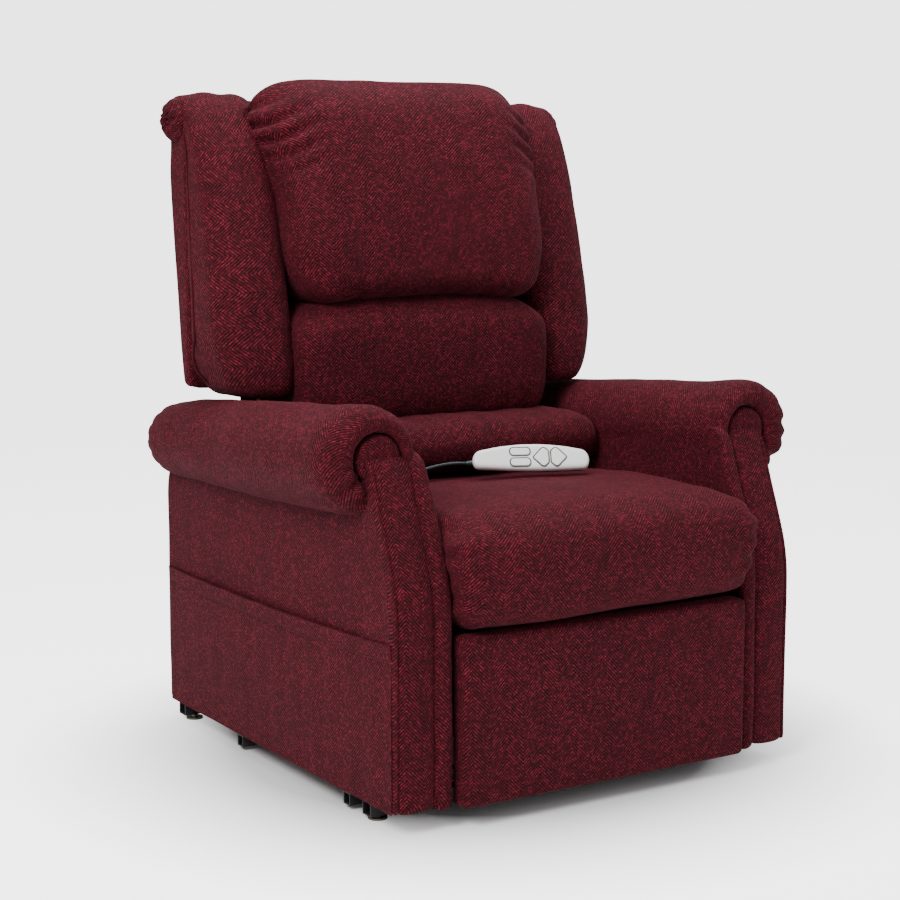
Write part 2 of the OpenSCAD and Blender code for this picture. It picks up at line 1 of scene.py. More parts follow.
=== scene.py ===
import bpy
import bmesh
from math import atan2, copysign, cos, exp, pi, radians, sin, sqrt
from mathutils import Matrix, Vector, noise
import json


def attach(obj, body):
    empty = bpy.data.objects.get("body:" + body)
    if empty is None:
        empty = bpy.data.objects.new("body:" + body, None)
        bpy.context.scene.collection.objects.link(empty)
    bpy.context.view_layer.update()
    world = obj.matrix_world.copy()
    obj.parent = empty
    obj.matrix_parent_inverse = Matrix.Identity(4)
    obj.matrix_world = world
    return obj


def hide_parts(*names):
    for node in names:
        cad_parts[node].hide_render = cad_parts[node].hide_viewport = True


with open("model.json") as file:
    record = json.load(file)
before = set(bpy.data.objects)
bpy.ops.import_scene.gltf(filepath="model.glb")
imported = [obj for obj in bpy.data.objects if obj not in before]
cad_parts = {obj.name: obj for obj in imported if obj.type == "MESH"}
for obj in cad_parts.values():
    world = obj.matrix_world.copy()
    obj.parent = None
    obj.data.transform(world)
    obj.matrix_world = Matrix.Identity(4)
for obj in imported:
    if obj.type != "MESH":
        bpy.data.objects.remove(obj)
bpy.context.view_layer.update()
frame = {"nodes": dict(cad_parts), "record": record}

# Depth of the frame's origin behind the arms' front. Side outlines are (y, z) from that front.
FRONT = 0.378
SKIRT = 0.031         # height of the cloth's lower edge
ARM_IN = 0.283        # an arm's inner and outer faces, from the middle
ARM_OUT = 0.374
BACK_HALF = 0.381     # half the width of the outside back
ROLL_HEAD = (0.350, 0.545)
ROLL_START, ROLL_END = 0.132, 0.748
LEFT, RIGHT = -1, 1


# ---------------------------------------------------------------- geometry helpers

def round_loop(corners):
    """Closed outline through (u, v, radius) corners, each rounded by its own arc."""
    points = []
    count = len(corners)
    for i, (u, v, radius) in enumerate(corners):
        here = Vector((u, v))
        before = Vector(corners[i - 1][:2]) - here
        after = Vector(corners[(i + 1) % count][:2]) - here
        reach = min(radius, 0.49 * before.length, 0.49 * after.length)
        start = here + before.normalized() * reach
        end = here + after.normalized() * reach
        for k in range(9):
            t = k / 8
            points.append(start * (1 - t) ** 2 + here * 2 * t * (1 - t) + end * t * t)
    return points


def resample(points, count):
    """The same closed outline with evenly spaced points."""
    lengths = [0.0]
    for i in range(len(points)):
        lengths.append(lengths[-1] + (points[(i + 1) % len(points)] - points[i]).length)
    out = []
    segment = 0
    for k in range(count):
        target = lengths[-1] * k / count
        while lengths[segment + 1] < target:
            segment += 1
        span = max(lengths[segment + 1] - lengths[segment], 1e-9)
        t = (target - lengths[segment]) / span
        out.append(points[segment].lerp(points[(segment + 1) % len(points)], t))
    return out


def area2(loop):
    return sum(a.x * b.y - b.x * a.y for a, b in zip(loop, loop[1:] + loop[:1]))


def inset_loop(loop, amount):
    """The outline moved inwards by amount, or outwards where it is negative."""
    turn = 1 if area2(loop) > 0 else -1
    out = []
    for i, point in enumerate(loop):
        along = loop[(i + 1) % len(loop)] - loop[i - 1]
        normal = Vector((-along.y, along.x)).normalized() * turn
        out.append(point + normal * amount)
    return out


def make_mesh(name, verts, faces):
    mesh = bpy.data.meshes.new(name)
    mesh.from_pydata([tuple(v) for v in verts], [], faces)
    mesh.update()
    work = bmesh.new()
    work.from_mesh(mesh)
    bmesh.ops.recalc_face_normals(work, faces=work.faces)
    work.to_mesh(mesh)
    work.free()
    for face in mesh.polygons:
        face.use_smooth = True
    obj = bpy.data.objects.new(name, mesh)
    bpy.context.scene.collection.objects.link(obj)
    return obj


def lay_flat(mesh, face, layer):
    """Cloth coordinates of one face, in metres, seen along its main direction."""
    normal = face.normal
    main = max(range(3), key=lambda i: abs(normal[i]))
    a, b = ((1, 2), (0, 2), (0, 1))[main]
    for corner in face.loop_indices:
        co = mesh.vertices[mesh.loops[corner].vertex_index].co
        layer.data[corner].uv = (co[a], co[b])


def lay_along_rows(obj, rows, cap_steps):
    """Cloth coordinates in metres: along the rows' path and round their outline, flat on the ends."""
    mesh = obj.data
    layer = mesh.uv_layers.new(name="cloth")
    width = len(rows[0])
    middle = rows[len(rows) // 2]
    around = [0.0]
    for k in range(width):
        around.append(around[-1] + (middle[(k + 1) % width] - middle[k]).length)
    along = [0.0]
    for before, after in zip(rows, rows[1:]):
        along.append(along[-1] + sum((b - a).length for a, b in zip(before, after)) / width)
    for face in mesh.polygons:
        spots = [divmod(i, width) for i in face.vertices]
        levels = [r for r, _ in spots]
        if max(levels) <= cap_steps or min(levels) >= len(rows) - 1 - cap_steps:
            lay_flat(mesh, face, layer)
            continue
        wraps = any(k == 0 for _, k in spots) and any(k == width - 1 for _, k in spots)
        for corner, (r, k) in zip(face.loop_indices, spots):
            layer.data[corner].uv = (along[r], around[width if wraps and k == 0 else k])


def lay_panel(obj):
    """Cloth coordinates for a flat piece."""
    layer = obj.data.uv_layers.new(name="cloth")
    for face in obj.data.polygons:
        lay_flat(obj.data, face, layer)
    return obj


def loft(name, rings, cap_steps=3):
    """Closed skin through equal rings, with each end filled by shrinking rings."""
    def capped(ring, inwards):
        centre = sum(ring, Vector()) / len(ring)
        steps = [[p.lerp(centre, k / (cap_steps + 0.5)) for p in ring] for k in range(1, cap_steps + 1)]
        return steps if inwards else steps[::-1]

    rows = capped(rings[0], False) + rings + capped(rings[-1], True)
    width = len(rings[0])
    verts = [p for row in rows for p in row]
    faces = []
    for r in range(len(rows) - 1):
        for k in range(width):
            after = (k + 1) % width
            faces.append((r * width + k, r * width + after, (r + 1) * width + after, (r + 1) * width + k))
    last = (len(rows) - 1) * width
    for k in range(width // 2 - 1):
        faces.append((width - 1 - k, width - 2 - k, k + 1, k))
        faces.append((last + k, last + k + 1, last + width - 2 - k, last + width - 1 - k))
    obj = make_mesh(name, verts, faces)
    lay_along_rows(obj, rows, cap_steps)
    return obj


def smooth(obj, levels=1):
    subsurf = obj.modifiers.new("subsurf", "SUBSURF")
    subsurf.levels = levels
    subsurf.render_levels = levels
    return obj


def reshape(obj, move):
    """Moves each vertex by what move(co, normal) returns."""
    normals = [v.normal.copy() for v in obj.data.vertices]
    for v, normal in zip(obj.data.vertices, normals):
        v.co += move(v.co.copy(), normal)
    obj.data.update()
    return obj


def uneven(co, size, seed):
    """Smooth random value from -1 to 1 that changes over lengths of about size."""
    return noise.noise(co / size + Vector((seed * 7.3, seed * 3.1, seed * 5.7)))


def ramp(value, low, high):
    t = min(max((value - low) / (high - low), 0.0), 1.0)
    return t * t * (3 - 2 * t)


def bell(value, centre, width):
    return exp(-((value - centre) / width) ** 2)


def to_frame(x, y, z):
    return Vector((x, y - FRONT, z))


def mirrored(obj, name):
    """A copy of obj on the chair's other side."""
    twin = obj.copy()
    twin.data = obj.data.copy()
    twin.name = name
    for v in twin.data.vertices:
        v.co.x = -v.co.x
    twin.data.flip_normals()
    bpy.context.scene.collection.objects.link(twin)
    return twin


def tube(name, points, radius, sides=6):
    """Round cord through points as a curve object."""
    curve = bpy.data.curves.new(name, "CURVE")
    curve.dimensions = "3D"
    curve.bevel_depth = radius
    curve.bevel_resolution = sides
    curve.use_fill_caps = True
    spline = curve.splines.new("BEZIER")
    spline.bezier_points.add(len(points) - 1)
    for target, point in zip(spline.bezier_points, points):
        target.co = point
        target.handle_left_type = target.handle_right_type = "AUTO"
    spline.resolution_u = 8
    obj = bpy.data.objects.new(name, curve)
    bpy.context.scene.collection.objects.link(obj)
    return obj


# ---------------------------------------------------------------- materials

class Shader:
    """Small wrapper that adds nodes to one material and links them."""

    def __init__(self, name):
        self.material = bpy.data.materials.new(name)
        self.material.use_nodes = True
        self.tree = self.material.node_tree
        self.tree.nodes.clear()
        self.out = self.tree.nodes.new("ShaderNodeOutputMaterial")
        self.surface = self.tree.nodes.new("ShaderNodeBsdfPrincipled")
        self.link(self.surface.outputs[0], self.out.inputs[0])
        self.place = self.tree.nodes.new("ShaderNodeTexCoord").outputs["Object"]

    def link(self, source, target):
        self.tree.links.new(source, target)

    def set(self, **values):
        for key, value in values.items():
            self.surface.inputs[key.replace("_", " ")].default_value = value
        return self

    def node(self, kind, **settings):
        made = self.tree.nodes.new(kind)
        for key, value in settings.items():
            setattr(made, key, value)
        return made

    def noise(self, scale, detail=3.0, roughness=0.6, place=None):
        made = self.node("ShaderNodeTexNoise")
        made.inputs["Scale"].default_value = scale
        made.inputs["Detail"].default_value = detail
        made.inputs["Roughness"].default_value = roughness
        self.link(place or self.place, made.inputs["Vector"])
        return made.outputs["Fac"]

    def math(self, operation, a, b=0.0, c=0.0):
        made = self.node("ShaderNodeMath", operation=operation)
        for socket, value in zip(made.inputs, (a, b, c)):
            if isinstance(value, (int, float)):
                socket.default_value = value
            else:
                self.link(value, socket)
        return made.outputs[0]

    def ramp(self, value, stops):
        made = self.node("ShaderNodeValToRGB")
        ramp_ = made.color_ramp
        while len(ramp_.elements) < len(stops):
            ramp_.elements.new(0.5)
        for element, (position, colour) in zip(ramp_.elements, stops):
            element.position = position
            element.color = (*colour, 1)
        self.link(value, made.inputs[0])
        return made.outputs[0]

    def mix(self, factor, a, b, blend="MIX"):
        made = self.node("ShaderNodeMix", data_type="RGBA", blend_type=blend)
        for socket, value in ((made.inputs[0], factor), (made.inputs[6], a), (made.inputs[7], b)):
            if isinstance(value, tuple):
                socket.default_value = (*value, 1)
            elif isinstance(value, (int, float)):
                socket.default_value = value
            else:
                self.link(value, socket)
        return made.outputs[2]

    def bump(self, height, distance, strength=1.0):
        made = self.node("ShaderNodeBump")
        made.inputs["Strength"].default_value = strength
        made.inputs["Distance"].default_value = distance
        self.link(height, made.inputs["Height"])
        self.link(made.outputs[0], self.surface.inputs["Normal"])

    def colour(self, source):
        self.link(source, self.surface.inputs["Base Color"])

    def rough(self, source):
        self.link(source, self.surface.inputs["Roughness"])


def tweed(name, deep, body, bright, rib=0.0056, column=0.030):
    """Chenille tweed: a broken herringbone of short mottled yarns with a soft nap."""
    s = Shader(name)
    place = s.node("ShaderNodeTexCoord").outputs["UV"]
    split = s.node("ShaderNodeSeparateXYZ")
    s.link(place, split.inputs[0])
    across, up = split.outputs[0], split.outputs[1]
    wobble = s.math("MULTIPLY", s.noise(90, 2, place=place), 0.0016)
    turned = s.math("PINGPONG", s.math("ADD", across, 10), column)
    slant = s.math("ADD", s.math("ADD", turned, up), wobble)
    twill = s.math("MULTIPLY_ADD", s.math("SINE", s.math("MULTIPLY", slant, 2 * pi / rib)), 0.5, 0.5)
    yarn = s.node("ShaderNodeTexVoronoi", feature="F1")
    yarn.inputs["Scale"].default_value = 330
    s.link(place, yarn.inputs["Vector"])
    speck = s.node("ShaderNodeSeparateColor")
    s.link(yarn.outputs["Color"], speck.inputs[0])
    fleck = s.noise(420, 2, 0.7)
    nap = s.noise(11, 3, 0.55)
    value = s.math("MULTIPLY_ADD", speck.outputs[0], 0.40, s.math("MULTIPLY", twill, 0.46))
    value = s.math("ADD", value, s.math("MULTIPLY", fleck, 0.20))
    value = s.math("ADD", value, s.math("MULTIPLY_ADD", nap, 0.12, -0.10))
    s.colour(s.ramp(value, [(0.22, deep), (0.52, body), (0.72, body), (1.0, bright)]))
    s.set(Roughness=0.9, Specular_IOR_Level=0.18)
    s.set(Sheen_Weight=0.07, Sheen_Roughness=0.35, Sheen_Tint=(0.85, 0.16, 0.26, 1))
    height = s.math("MULTIPLY_ADD", yarn.outputs["Distance"], -0.7, s.math("MULTIPLY", twill, 0.7))
    s.bump(s.math("MULTIPLY_ADD", fleck, 0.6, height), 0.0009, 0.7)
    return s.material


def powder_coat(name, colour):
    s = Shader(name)
    grain = s.noise(900, 2)
    s.set(Base_Color=(*colour, 1), Metallic=0.0, Specular_IOR_Level=0.5)
    s.rough(s.math("MULTIPLY_ADD", s.noise(14, 4), 0.22, 0.34))
    s.bump(grain, 0.0002, 0.35)
    return s.material


def metal(name, colour, low, spread):
    s = Shader(name)
    s.set(Metallic=1.0)
    worn = s.noise(40, 5)
    s.colour(s.mix(s.math("MULTIPLY", worn, 0.45), colour, tuple(c * 0.55 for c in colour)))
    s.rough(s.math("MULTIPLY_ADD", s.noise(160, 4), spread, low))
    s.bump(s.noise(700, 2), 0.0001, 0.25)
    return s.material


def plastic(name, colour, roughness, grain=0.0):
    s = Shader(name)
    s.set(Base_Color=(*colour, 1), Specular_IOR_Level=0.5)
    s.rough(s.math("MULTIPLY_ADD", s.noise(25, 4), 0.1, roughness))
    s.bump(s.noise(1500, 1), 0.0001, grain)
    return s.material


def timber(name):
    s = Shader(name)
    stretch = s.node("ShaderNodeMapping")
    stretch.inputs["Scale"].default_value = (1, 1, 9)
    s.link(s.place, stretch.inputs["Vector"])
    grain = s.noise(28, 6, 0.65, stretch.outputs[0])
    browns = [(0.3, (0.30, 0.17, 0.07)), (0.6, (0.55, 0.36, 0.18)), (0.8, (0.66, 0.47, 0.27))]
    s.colour(s.ramp(grain, browns))
    s.set(Roughness=0.7)
    s.bump(grain, 0.0004, 0.4)
    return s.material


BURGUNDY = tweed("burgundy_tweed", (0.004, 0.0005, 0.0010), (0.064, 0.0026, 0.0080), (0.34, 0.024, 0.050))
BLACK_STEEL = powder_coat("black_steel", (0.012, 0.012, 0.013))
LINK_STEEL = powder_coat("link_steel", (0.030, 0.031, 0.033))
BARE_STEEL = metal("bare_steel", (0.20, 0.175, 0.15), 0.30, 0.3)
CHROME = metal("rod_chrome", (0.78, 0.79, 0.80), 0.08, 0.12)
SPRING = metal("spring_wire", (0.22, 0.22, 0.23), 0.35, 0.25)
PLYWOOD = timber("plywood")
MOTOR = plastic("motor_plastic", (0.035, 0.036, 0.040), 0.45, 0.5)
BOX = plastic("box_plastic", (0.018, 0.018, 0.020), 0.5, 0.4)
WHITE = plastic("handset_white", (0.86, 0.86, 0.85), 0.22)
OUTLINE = plastic("handset_outline", (0.035, 0.045, 0.04), 0.4)
GREY = plastic("handset_grey", (0.045, 0.047, 0.050), 0.42, 0.4)
CORD = plastic("cord_rubber", (0.008, 0.020, 0.022), 0.38, 0.2)
THREAD = plastic("thread", (0.06, 0.010, 0.016), 0.8, 0.3)

FINISH = {
    "black_steel": BLACK_STEEL, "link_steel": LINK_STEEL, "bare_steel": BARE_STEEL, "rod_chrome": CHROME,
    "spring_wire": SPRING, "plywood": PLYWOOD, "motor_plastic": MOTOR, "box_plastic": BOX,
}


def paint(obj, material):
    obj.data.materials.clear()
    obj.data.materials.append(material)
    return obj


def finish_cad_nodes():
    """Real finishes on the pieces that keep their CAD mesh."""
    for entry in frame["record"]["subparts"]:
        material = FINISH.get(entry["material_slot"])
        if material is None:
            continue
        obj = frame["nodes"][entry["node"]]
        obj.data.materials.clear()
        obj.data.materials.append(material)


def cloth_piece(obj, body, nodes):
    paint(obj, BURGUNDY)
    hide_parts(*nodes)
    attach(obj, body)
    return obj


# ---------------------------------------------------------------- arms

def arm_outline(setback):
    """Side outline of an arm's body, its front edge moved back by setback."""
    d = setback
    return resample(round_loop([
        (d, SKIRT + 0.001, 0.006), (d, 0.352, 0.05), (0.028 + d, 0.432, 0.05), (0.050 + d, 0.488, 0.05),
        (0.074 + d, 0.556, 0.03), (0.740, 0.490, 0.05), (0.790, 0.462, 0.03), (0.803, 0.42, 0.03),
        (0.803, SKIRT + 0.001, 0.006)]), 220)


def arm_body(name):
    """Padded inner band, then the flatter facing and outer side, in one skin."""
    # (place across, inset of the outline): the band bulges, its seam at 0.306 dips
    stations = [
        (ARM_IN + 0.0005, 0.090), (ARM_IN + 0.0005, 0.050), (ARM_IN - 0.0030, 0.026),
        (ARM_IN - 0.0065, 0.015), (ARM_IN - 0.0075, 0.009), (ARM_IN - 0.006, 0.004),
        (ARM_IN - 0.002, 0.0005), (ARM_IN + 0.004, -0.0015), (ARM_IN + 0.011, -0.0020),
        (ARM_IN + 0.017, 0.0), (ARM_IN + 0.0205, 0.0035), (ARM_IN + 0.0222, 0.0095),
        (ARM_IN + 0.0240, 0.0095), (ARM_IN + 0.0265, 0.0050), (ARM_IN + 0.036, 0.0030),
        (ARM_IN + 0.055, 0.0015), (ARM_IN + 0.072, 0.0022), (ARM_OUT - 0.0100, 0.0038),
        (ARM_OUT - 0.0075, 0.0080), (ARM_OUT - 0.0060, 0.0080), (ARM_OUT - 0.0040, 0.0045),
        (ARM_OUT - 0.0020, 0.0050), (ARM_OUT - 0.0005, 0.0075), (ARM_OUT, 0.0120)]
    outline = arm_outline(0.0)
    rings = [[to_frame(x, p.x, p.y) for p in inset_loop(outline, inset)] for x, inset in stations]
    obj = loft(name, rings, 6)

    def settle(co, normal):
        soft = uneven(co, 0.12, 3) * 0.0018 * ramp(co.z, SKIRT, 0.12)
        back_in = max(ARM_IN + 0.0015 - co.x, 0) * ramp(co.y + FRONT, 0.035, 0.10)
        return normal * soft + Vector((back_in, 0, 0))
    return reshape(obj, settle)


def roll_axis(y):
    """(x, z, radius) of the arm roll at a depth."""
    t = (y - 0.092) / (0.738 - 0.092)
    radius = 0.083 + (0.066 - 0.083) * t
    z = 0.546 + (0.507 - 0.546) * t
    return ARM_IN + 0.003 * t + radius, z - 0.004 * sin(pi * min(max(t, 0), 1)), radius


def ring_at(x, y, z, radius, count):
    """Upright circle of points round (x, z) at depth y."""
    turns = [2 * pi * k / count for k in range(count)]
    return [to_frame(x + cos(a) * radius, y, z + sin(a) * radius) for a in turns]


def arm_roll(name):
    """Rolled arm top: gathered round the facing at its front, closed and rounded at its rear."""
    head = Vector(ROLL_HEAD)
    count = 96
    rings = []
    # front lip: (depth, share of the way from the facing's circle to the full roll)
    for y, share in [(0.112, 0.01), (0.104, 0.015), (0.094, 0.04), (0.0865, 0.10), (0.0815, 0.20),
                     (0.0790, 0.32), (0.0790, 0.45), (0.0820, 0.60), (0.088, 0.76), (0.098, 0.89),
                     (0.113, 0.97), (0.132, 1.0)]:
        ax, az, radius = roll_axis(y)
        ring = []
        for k in range(count):
            a = 2 * pi * k / count
            inner = head + Vector((cos(a), sin(a))) * 0.0385
            outer = Vector((ax, az)) + Vector((cos(a), sin(a))) * radius
            p = inner.lerp(outer, share)
            ring.append(to_frame(p.x, y, p.y))
        rings.append(ring)
    for step in range(1, 34):
        y = ROLL_START + (ROLL_END - ROLL_START) * step / 33
        ax, az, radius = roll_axis(y)
        rings.append(ring_at(ax, y, az, radius, count))
    ax, az, radius = roll_axis(ROLL_END)
    for y, share in [(0.764, 0.985), (0.780, 0.95), (0.790, 0.90), (0.7975, 0.82), (0.802, 0.70),
                     (0.8035, 0.52)]:
        rings.append(ring_at(ax, y, az, radius * share, count))
    obj = loft(name, rings, 5)

    def dress(co, normal):
        y = co.y + FRONT
        ax, az, radius = roll_axis(y)
        away = Vector((co.x - ax, 0, co.z - az))
        angle = atan2(away.z, away.x)
        # pleats fan out from the facing, deepest below and outside it
        low_out = 0.25 + 0.75 * bell(angle, -0.75, 0.9)
        fan = sin(angle * 13 + 0.8 * sin(angle * 3)) * 0.6 + sin(angle * 7 + 1.3) * 0.4
        pleat = -0.0060 * low_out * max(fan, -0.25) * ramp(y, 0.078, 0.084) * (1 - ramp(y, 0.110, 0.19))
        tuck = 0.0075 * low_out * max(fan, -0.4) * (1 - ramp(y, 0.082, 0.104))
        tail = -0.0022 * max(sin(angle * 15), 0) * ramp(y, 0.745, 0.785)
        lumps = 0.0030 * uneven(co, 0.11, 1) + 0.0012 * uneven(co, 0.045, 2)
        crest = 0.007 * ramp(y, 0.20, 0.42) * (1 - ramp(y, 0.66, 0.78)) * max(sin(angle), 0) ** 2
        grow = pleat + tail + lumps * ramp(y, 0.09, 0.13) + crest
        push = away.normalized() * grow if away.length > 0.01 else Vector()
        return push + Vector((0, tuck, 0))
    return reshape(obj, dress)


def arm_facing(name):
    """Keyhole panel's round head: a short rounded disc at the front of the roll."""
    rings = [ring_at(ROLL_HEAD[0], y, ROLL_HEAD[1], radius, 64) for y, radius in (
        (0.112, 0.0375), (0.0935, 0.0375), (0.0895, 0.0365), (0.0875, 0.034), (0.0860, 0.028))]
    return loft(name, rings, 5)


def side_pocket(name):
    """Flat pouch on the outer side, its hemmed top edge drooping a little."""
    columns, rows = 80, 110
    y0, y1, z0 = 0.013, 0.791, SKIRT + 0.004
    front, rear = [], []
    for i in range(columns + 1):
        u = i / columns
        y = y0 + (y1 - y0) * u
        belly = sin(pi * u) ** 0.7
        top = 0.288 - 0.010 * u - 0.006 * belly
        for j in range(rows + 1):
            v = j / rows
            z = z0 + (top - z0) * v
            lift = 0.0012 + 0.0052 * belly * ramp(v, 0.0, 0.5)
            wave = 0.0008 * noise.noise(Vector((y * 9, z * 7, 4)))
            hem = 0.0016 * ramp(z, top - 0.026, top - 0.022) + 0.0010 * bell(z, top, 0.004)
            groove = -0.0022 * bell(z, top - 0.026, 0.0022)
            front.append(to_frame(ARM_OUT + lift + wave + hem + groove, y, z))
            rear.append(to_frame(ARM_OUT + lift + wave - 0.0008, y, z))
    width = rows + 1
    total = len(front)
    verts = front + rear
    faces = []
    for i in range(columns):
        for j in range(rows):
            a, b = i * width + j, (i + 1) * width + j
            faces.append((a, b, b + 1, a + 1))
            faces.append((total + a, total + a + 1, total + b + 1, total + b))
        a, b = i * width, (i + 1) * width
        faces.append((a, total + a, total + b, b))
        a, b = i * width + rows, (i + 1) * width + rows
        faces.append((a, b, total + b, total + a))
    for j in range(rows):
        for a in (j, columns * width + j):
            faces.append((a, a + 1, total + a + 1, total + a))
    return lay_panel(make_mesh(name, verts, faces))


def stitch_row(name, points, length=0.0042, gap=0.0022, radius=0.00045):
    """Row of short raised stitches along a polyline, as one mesh."""
    verts, faces = [], []
    total = 0.0
    step = length + gap
    next_start = 0.0
    for a, b in zip(points, points[1:]):
        span = (b - a).length
        direction = (b - a) / span
        side = direction.cross(Vector((0, 0, 1))).normalized()
        up = direction.cross(side)
        while next_start + length < total + span:
            start = a + direction * (next_start - total)
            base = len(verts)
            for along, size in ((0, 0.3), (0.25, 1), (0.75, 1), (1, 0.3)):
                centre = start + direction * length * along
                for k in range(6):
                    t = 2 * pi * k / 6
                    verts.append(centre + (side * cos(t) + up * sin(t)) * radius * size)
            for r in range(3):
                for k in range(6):
                    n = (k + 1) % 6
                    low = base + r * 6
                    faces.append((low + k, low + n, low + 6 + n, low + 6 + k))
            faces.append(tuple(base + k for k in range(6))[::-1])
            faces.append(tuple(base + 18 + k for k in range(6)))
            next_start += step
        total += span
    return make_mesh(name, verts, faces)


def build_arms():
    for side, label in ((RIGHT, "right"), (LEFT, "left")):
        pieces = {
            f"{label}_arm_cover": arm_body("arm_body"), f"{label}_arm_roll": arm_roll("arm_roll"),
            f"{label}_arm_facing": arm_facing("arm_facing"), f"{label}_pocket": side_pocket("pocket")}
        for node, obj in pieces.items():
            obj.name = node + "_cloth"
            if side == LEFT:
                for v in obj.data.vertices:
                    v.co.x = -v.co.x
                obj.data.flip_normals()
            paint(obj, BURGUNDY)
            smooth(obj)
            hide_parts(node)
            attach(obj, "chair")
        x = side * (ARM_OUT + 0.0062)
        line = [to_frame(x * (1 - 0.010 * (1 - sin(pi * i / 60) ** 0.7)), 0.02 + 0.76 * i / 60,
                         0.2620 - 0.010 * i / 60 - 0.006 * sin(pi * i / 60) ** 0.7) for i in range(61)]
        seam = stitch_row(f"{label}_pocket_stitches", line)
        paint(seam, THREAD)
        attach(seam, "chair")


# ---------------------------------------------------------------- seat, footrest and back

def pillow_rings(loop, half, edge, crown, count=40):
    """Rings from side to side: rounded ends, and a crown that swells towards the middle."""
    rings = []
    for i in range(count + 1):
        t = -cos(pi * i / count)
        x = half * t
        end = max(abs(x) - (half - edge), 0) / edge
        inset = edge * (1 - sqrt(max(1 - end * end, 0))) * 0.9
        swell = crown * (1 - t ** 4)
        rings.append([to_frame(x, p.x, p.y) for p in inset_loop(loop, inset - swell)])
    return rings


def seat_cushion():
    loop = resample(round_loop([
        (0.000, 0.300, 0.03), (-0.030, 0.322, 0.04), (-0.043, 0.385, 0.05), (-0.030, 0.435, 0.05),
        (0.030, 0.460, 0.07), (0.180, 0.464, 0.10), (0.400, 0.450, 0.08), (0.604, 0.430, 0.03),
        (0.604, 0.350, 0.02), (0.075, 0.350, 0.03), (0.050, 0.304, 0.02)]), 200)
    obj = loft("seat_cushion_cloth", pillow_rings(loop, 0.2715, 0.030, 0.006, 56), 4)

    def soften(co, normal):
        y, z = co.y + FRONT, co.z
        side = ramp(abs(co.x), 0.20, 0.268)
        front = 1 - ramp(y, 0.0, 0.12)
        pucker = 0.0030 * side * front * sin(z * 190 + 2.0 * sin(co.x * 40))
        lumps = 0.0045 * uneven(co, 0.16, 5) + 0.0016 * uneven(co, 0.05, 6)
        bulge = 0.012 * side * (1 - ramp(y, -0.010, 0.030)) * bell(z, 0.415, 0.05)
        return normal * (pucker + lumps * 0.8) + Vector((copysign(bulge, co.x), 0, 0))
    return reshape(obj, soften)


def footrest_pad():
    loop = resample(round_loop([
        (-0.016, SKIRT + 0.001, 0.012), (-0.0165, 0.289, 0.014), (0.021, 0.290, 0.006),
        (0.021, SKIRT + 0.001, 0.004)]), 150)
    obj = loft("footrest_pad_cloth", pillow_rings(loop, 0.2680, 0.009, 0.0, 50), 4)

    def soften(co, normal):
        front = max(-normal.y, 0)
        return Vector((0, -front * 0.0012 * (1 + uneven(co, 0.10, 8)), 0))
    return reshape(obj, soften)


def top_pillow():
    loop = resample(round_loop([
        (0.540, 0.757, 0.03), (0.494, 0.776, 0.04), (0.498, 0.860, 0.12), (0.524, 0.985, 0.14),
        (0.566, 1.090, 0.09), (0.640, 1.130, 0.06), (0.676, 1.105, 0.04), (0.680, 1.000, 0.03),
        (0.676, 0.762, 0.02)]), 190)
    rings = pillow_rings(loop, 0.250, 0.062, 0.004, 60)
    obj = loft("top_pillow_cloth", rings, 4)

    def soften(co, normal):
        y, z = co.y + FRONT, co.z
        side = ramp(abs(co.x), 0.150, 0.245)
        # the shoulders spread over the wings and roll back; the lower corners draw in
        shoulder = ramp(z, 0.90, 1.08)
        spread = 0.030 * shoulder - 0.012 * (1 - ramp(z, 0.76, 0.85))
        shift = Vector((co.x / 0.25 * spread, 0.030 * side * shoulder * (1 - ramp(y, 0.60, 0.69)),
                        -0.012 * side * shoulder))
        # gathers fan out from the upper side seams
        zone = bell(z, 1.045, 0.055)
        fold = sin((z - 0.35 * (0.25 - abs(co.x))) * 2 * pi / 0.030)
        pleat = -0.0125 * side * zone * max(fold, -0.3)
        low = 0.0030 * bell(z, 0.778, 0.022) * sin(co.x * 150 + 2 * sin(co.x * 31)) * (1 - side)
        dip = Vector((0, 0, -0.012 * ramp(abs(co.x), 0.12, 0.25) * bell(z, 0.762, 0.035)))
        lumps = 0.0050 * uneven(co, 0.17, 11) + 0.0016 * uneven(co, 0.05, 12)
        return normal * (pleat + low + lumps) + dip + shift
    return reshape(obj, soften)


def middle_pillow():
    loop = resample(round_loop([
        (0.510, 0.545, 0.03), (0.492, 0.585, 0.05), (0.489, 0.660, 0.08), (0.496, 0.728, 0.04),
        (0.540, 0.757, 0.03), (0.676, 0.752, 0.02), (0.676, 0.548, 0.02)]), 150)
    obj = loft("middle_pillow_cloth", pillow_rings(loop, 0.251, 0.045, 0.003, 56), 4)

    def soften(co, normal):
        dip = Vector((0, 0, -0.012 * ramp(abs(co.x), 0.12, 0.25) * bell(co.z, 0.752, 0.035)))
        lumps = 0.0036 * uneven(co, 0.15, 14) + 0.0012 * uneven(co, 0.05, 15)
        gather = 0.0020 * bell(co.z, 0.565, 0.02) * sin(co.x * 120 + sin(co.x * 40))
        narrow = Vector((-co.x * 0.045 * ramp(co.z, 0.68, 0.76), 0, 0))
        return normal * (lumps + gather) + dip + narrow
    return reshape(obj, soften)


